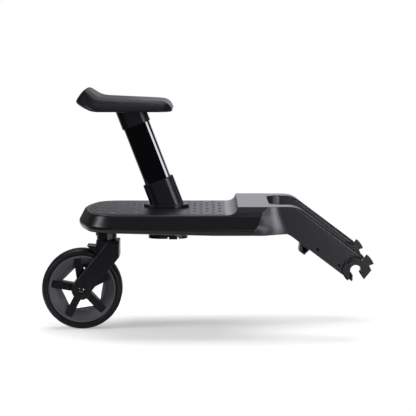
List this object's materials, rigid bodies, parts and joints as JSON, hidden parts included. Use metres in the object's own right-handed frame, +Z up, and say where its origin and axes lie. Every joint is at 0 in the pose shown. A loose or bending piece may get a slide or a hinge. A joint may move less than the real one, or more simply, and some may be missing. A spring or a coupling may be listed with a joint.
{
  "type": "buggy board",
  "caption": "Ride-on board for a pushchair: moulded deck with axle-hook arms, a swivelling rear wheel and a lift-out saddle seat on a slanted post.",
  "frame": {"origin": "on the ground under the middle of the board's box", "axes": "+X forward to the pushchair, +Y to the board's left, +Z up"},
  "size_m": [0.611, 0.318, 0.4497],
  "materials": {
    "deck_moulding": "fine satin grain",
    "tread_rubber": "matte, raised triangles",
    "black_moulding": "satin",
    "seat_moulding": "fine satin grain",
    "gloss_tube": "gloss black",
    "rim_moulding": "satin grey",
    "tyre_rubber": "matte",
    "bush_nylon": "smooth",
    "bright_steel": "zinc plated",
    "black_steel": "black oxide"
  },
  "bodies": {
    "deck": {"deck_shell": "deck_moulding", "deck_under_tray": "deck_moulding", "tread_mat": "tread_rubber", "tray_screws": "bright_steel", "housing_screws": "bright_steel", "socket_screws": "bright_steel", "swivel_housing": "black_moulding", "swivel_bush_lower": "bush_nylon", "swivel_bush_upper": "bush_nylon", "wheel_release_spring": "bright_steel", "axle_hook_right": "black_moulding", "axle_hook_left": "black_moulding", "hook_pins": "black_steel", "seat_socket": "black_moulding", "seat_release_spring": "bright_steel"},
    "seat": {"seat_shell": "seat_moulding", "seat_base": "seat_moulding", "seat_neck": "black_moulding", "seat_post": "gloss_tube", "seat_foot": "black_moulding", "seat_screws": "bright_steel", "neck_screws": "bright_steel"},
    "caster": {"fork": "black_moulding", "kingpin": "bright_steel", "kingpin_clip": "bright_steel", "thrust_washer": "bush_nylon", "axle_bolt": "black_steel", "axle_nut": "bright_steel", "axle_spacers": "bright_steel", "hub_sleeve": "bright_steel"},
    "wheel": {"tyre": "tyre_rubber", "wheel_rim": "rim_moulding", "wheel_star_right": "black_moulding", "wheel_star_left": "black_moulding", "wheel_bearing_right": "bright_steel", "wheel_bearing_left": "bright_steel"},
    "seat_release": {"seat_release_button": "black_moulding"},
    "wheel_release": {"wheel_release_button": "black_moulding"},
    "right_lock": {"hook_lock_right": "black_moulding"},
    "left_lock": {"hook_lock_left": "black_moulding"}
  },
  "joints": [
    {"name": "caster_swivel", "type": "hinge", "parent": "deck", "child": "caster", "pos_m": [-0.18425, 0, 0.19], "axis": [0, 0, 1], "continuous": true},
    {"name": "wheel_spin", "type": "hinge", "parent": "caster", "child": "wheel", "pos_m": [-0.23025, 0, 0.07525], "axis": [0, 1, 0], "continuous": true},
    {"name": "seat_lift", "type": "slide", "parent": "deck", "child": "seat", "axis": [0, 0, 1], "range_m": [0, 0.08]},
    {"name": "seat_release_press", "type": "slide", "parent": "deck", "child": "seat_release", "axis": [0, 0, 1], "range_m": [0, 0.002], "stiffness_N_per_m": 600, "deforming": ["seat_release_spring"]},
    {"name": "wheel_release_press", "type": "slide", "parent": "deck", "child": "wheel_release", "axis": [1, 0, 0], "range_m": [0, 0.002], "stiffness_N_per_m": 400, "deforming": ["wheel_release_spring"]},
    {"name": "right_lock_turn", "type": "hinge", "parent": "deck", "child": "right_lock", "pos_m": [0.2726, -0.1295, 0.12483], "axis": [0, 1, 0], "range_deg": [0, 88]},
    {"name": "left_lock_turn", "type": "hinge", "parent": "deck", "child": "left_lock", "pos_m": [0.2726, 0.1295, 0.12483], "axis": [0, 1, 0], "range_deg": [0, 88]}
  ]
}
